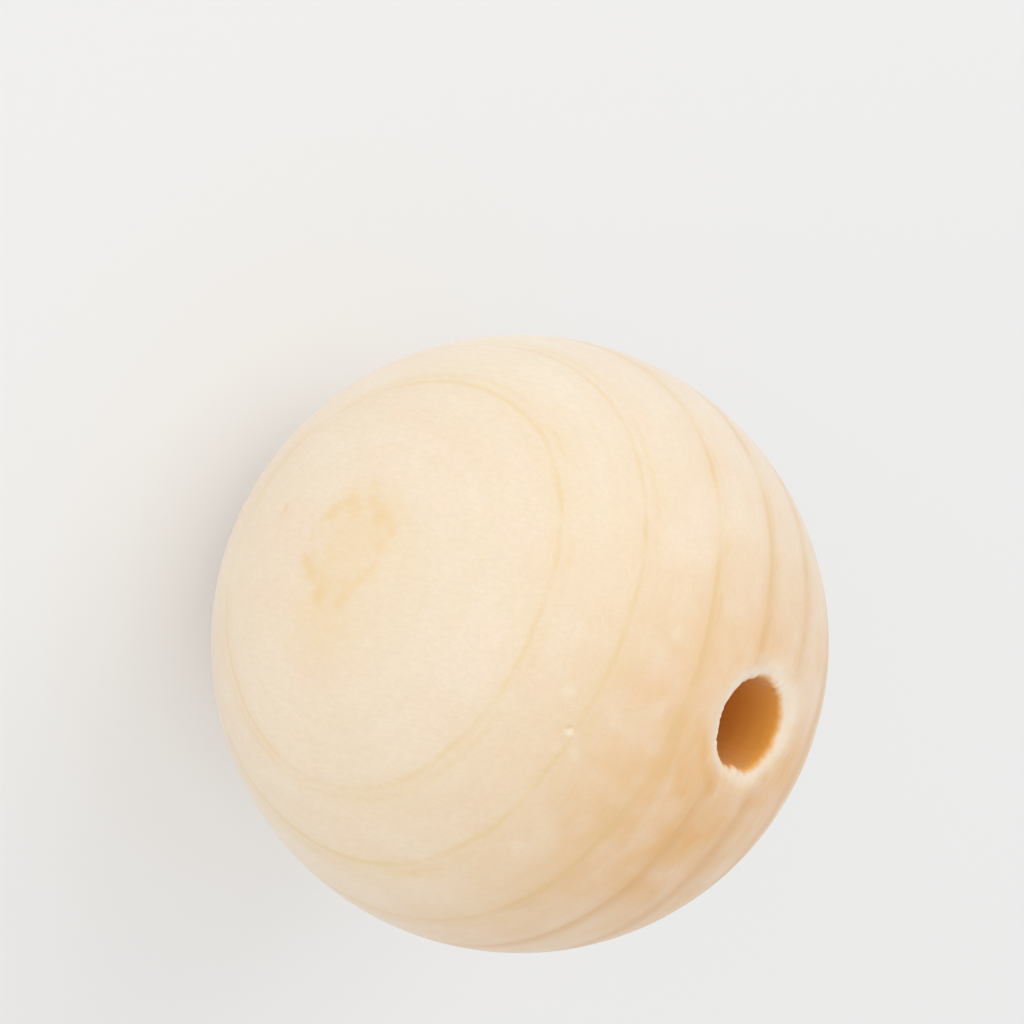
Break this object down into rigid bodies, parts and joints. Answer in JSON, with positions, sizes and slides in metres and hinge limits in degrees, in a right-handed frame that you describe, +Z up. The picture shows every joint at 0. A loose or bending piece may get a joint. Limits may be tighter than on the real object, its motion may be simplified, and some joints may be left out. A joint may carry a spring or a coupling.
{
  "type": "wooden ball",
  "caption": "Bare sanded wooden ball with a hole drilled right through it along the grain, for threading on a cord, dowel or rod.",
  "frame": {"origin": "centre of the lower mouth of the hole, on the surface that the ball stands on", "axes": "+Z up along the hole, +X outwards across the year rings, +Y along the year rings"},
  "size_m": [0.04, 0.04, 0.0391],
  "materials": {
    "bare_wood": "matt, sanded and bare, pale cream with fine ochre year rings"
  },
  "bodies": {
    "root": {"ball": "bare_wood"}
  },
  "joints": []
}
